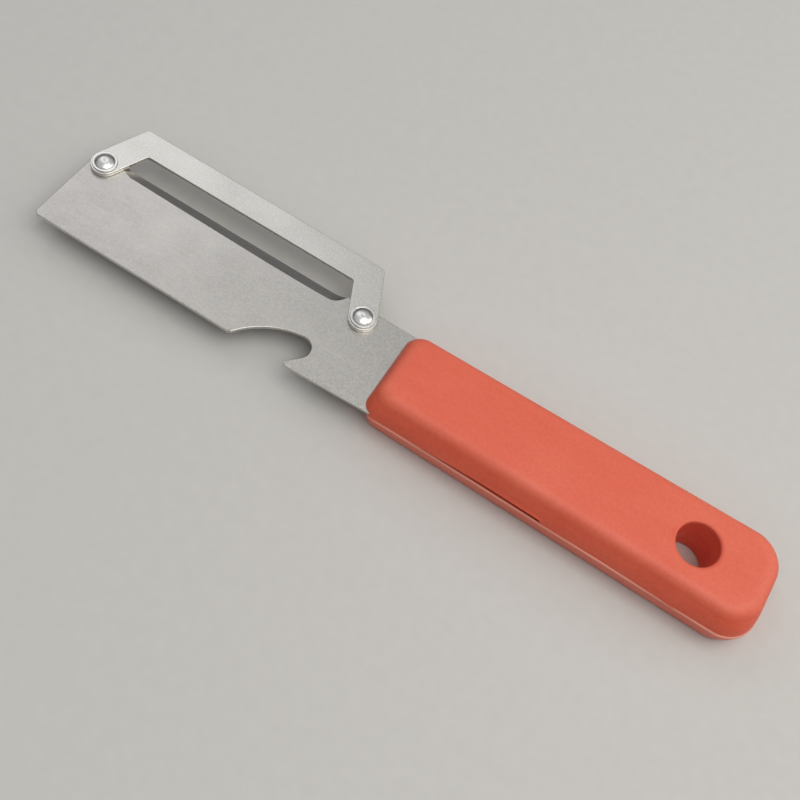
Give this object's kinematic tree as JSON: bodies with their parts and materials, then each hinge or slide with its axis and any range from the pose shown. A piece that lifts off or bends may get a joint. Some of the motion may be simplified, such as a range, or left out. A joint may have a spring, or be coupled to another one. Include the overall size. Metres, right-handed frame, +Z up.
{
  "type": "peeling and paring multi-purpose knife",
  "caption": "Flat steel peeling knife with a riveted guard over a ground slot, an opener notch and a two-shell plastic handle with a hanging hole.",
  "frame": {"origin": "middle of the bounding box, on the surface that the handle's underside lies on", "axes": "+X from the blade's front edge to the handle's end, +Y towards the guard, +Z up through the plates"},
  "size_m": [0.1921, 0.0365, 0.014],
  "materials": {
    "blade_steel": "fine brushed stainless plate with light scratches",
    "guard_steel": "satin stainless strip",
    "rivet_steel": "bright formed rivet head",
    "handle_plastic": "moulded polypropylene, satin, orange-red"
  },
  "bodies": {
    "root": {"blade": "blade_steel", "peeling_guard": "guard_steel", "rivet_front": "rivet_steel", "rivet_rear": "rivet_steel", "handle_upper_shell": "handle_plastic", "handle_lower_shell": "handle_plastic"}
  },
  "joints": []
}
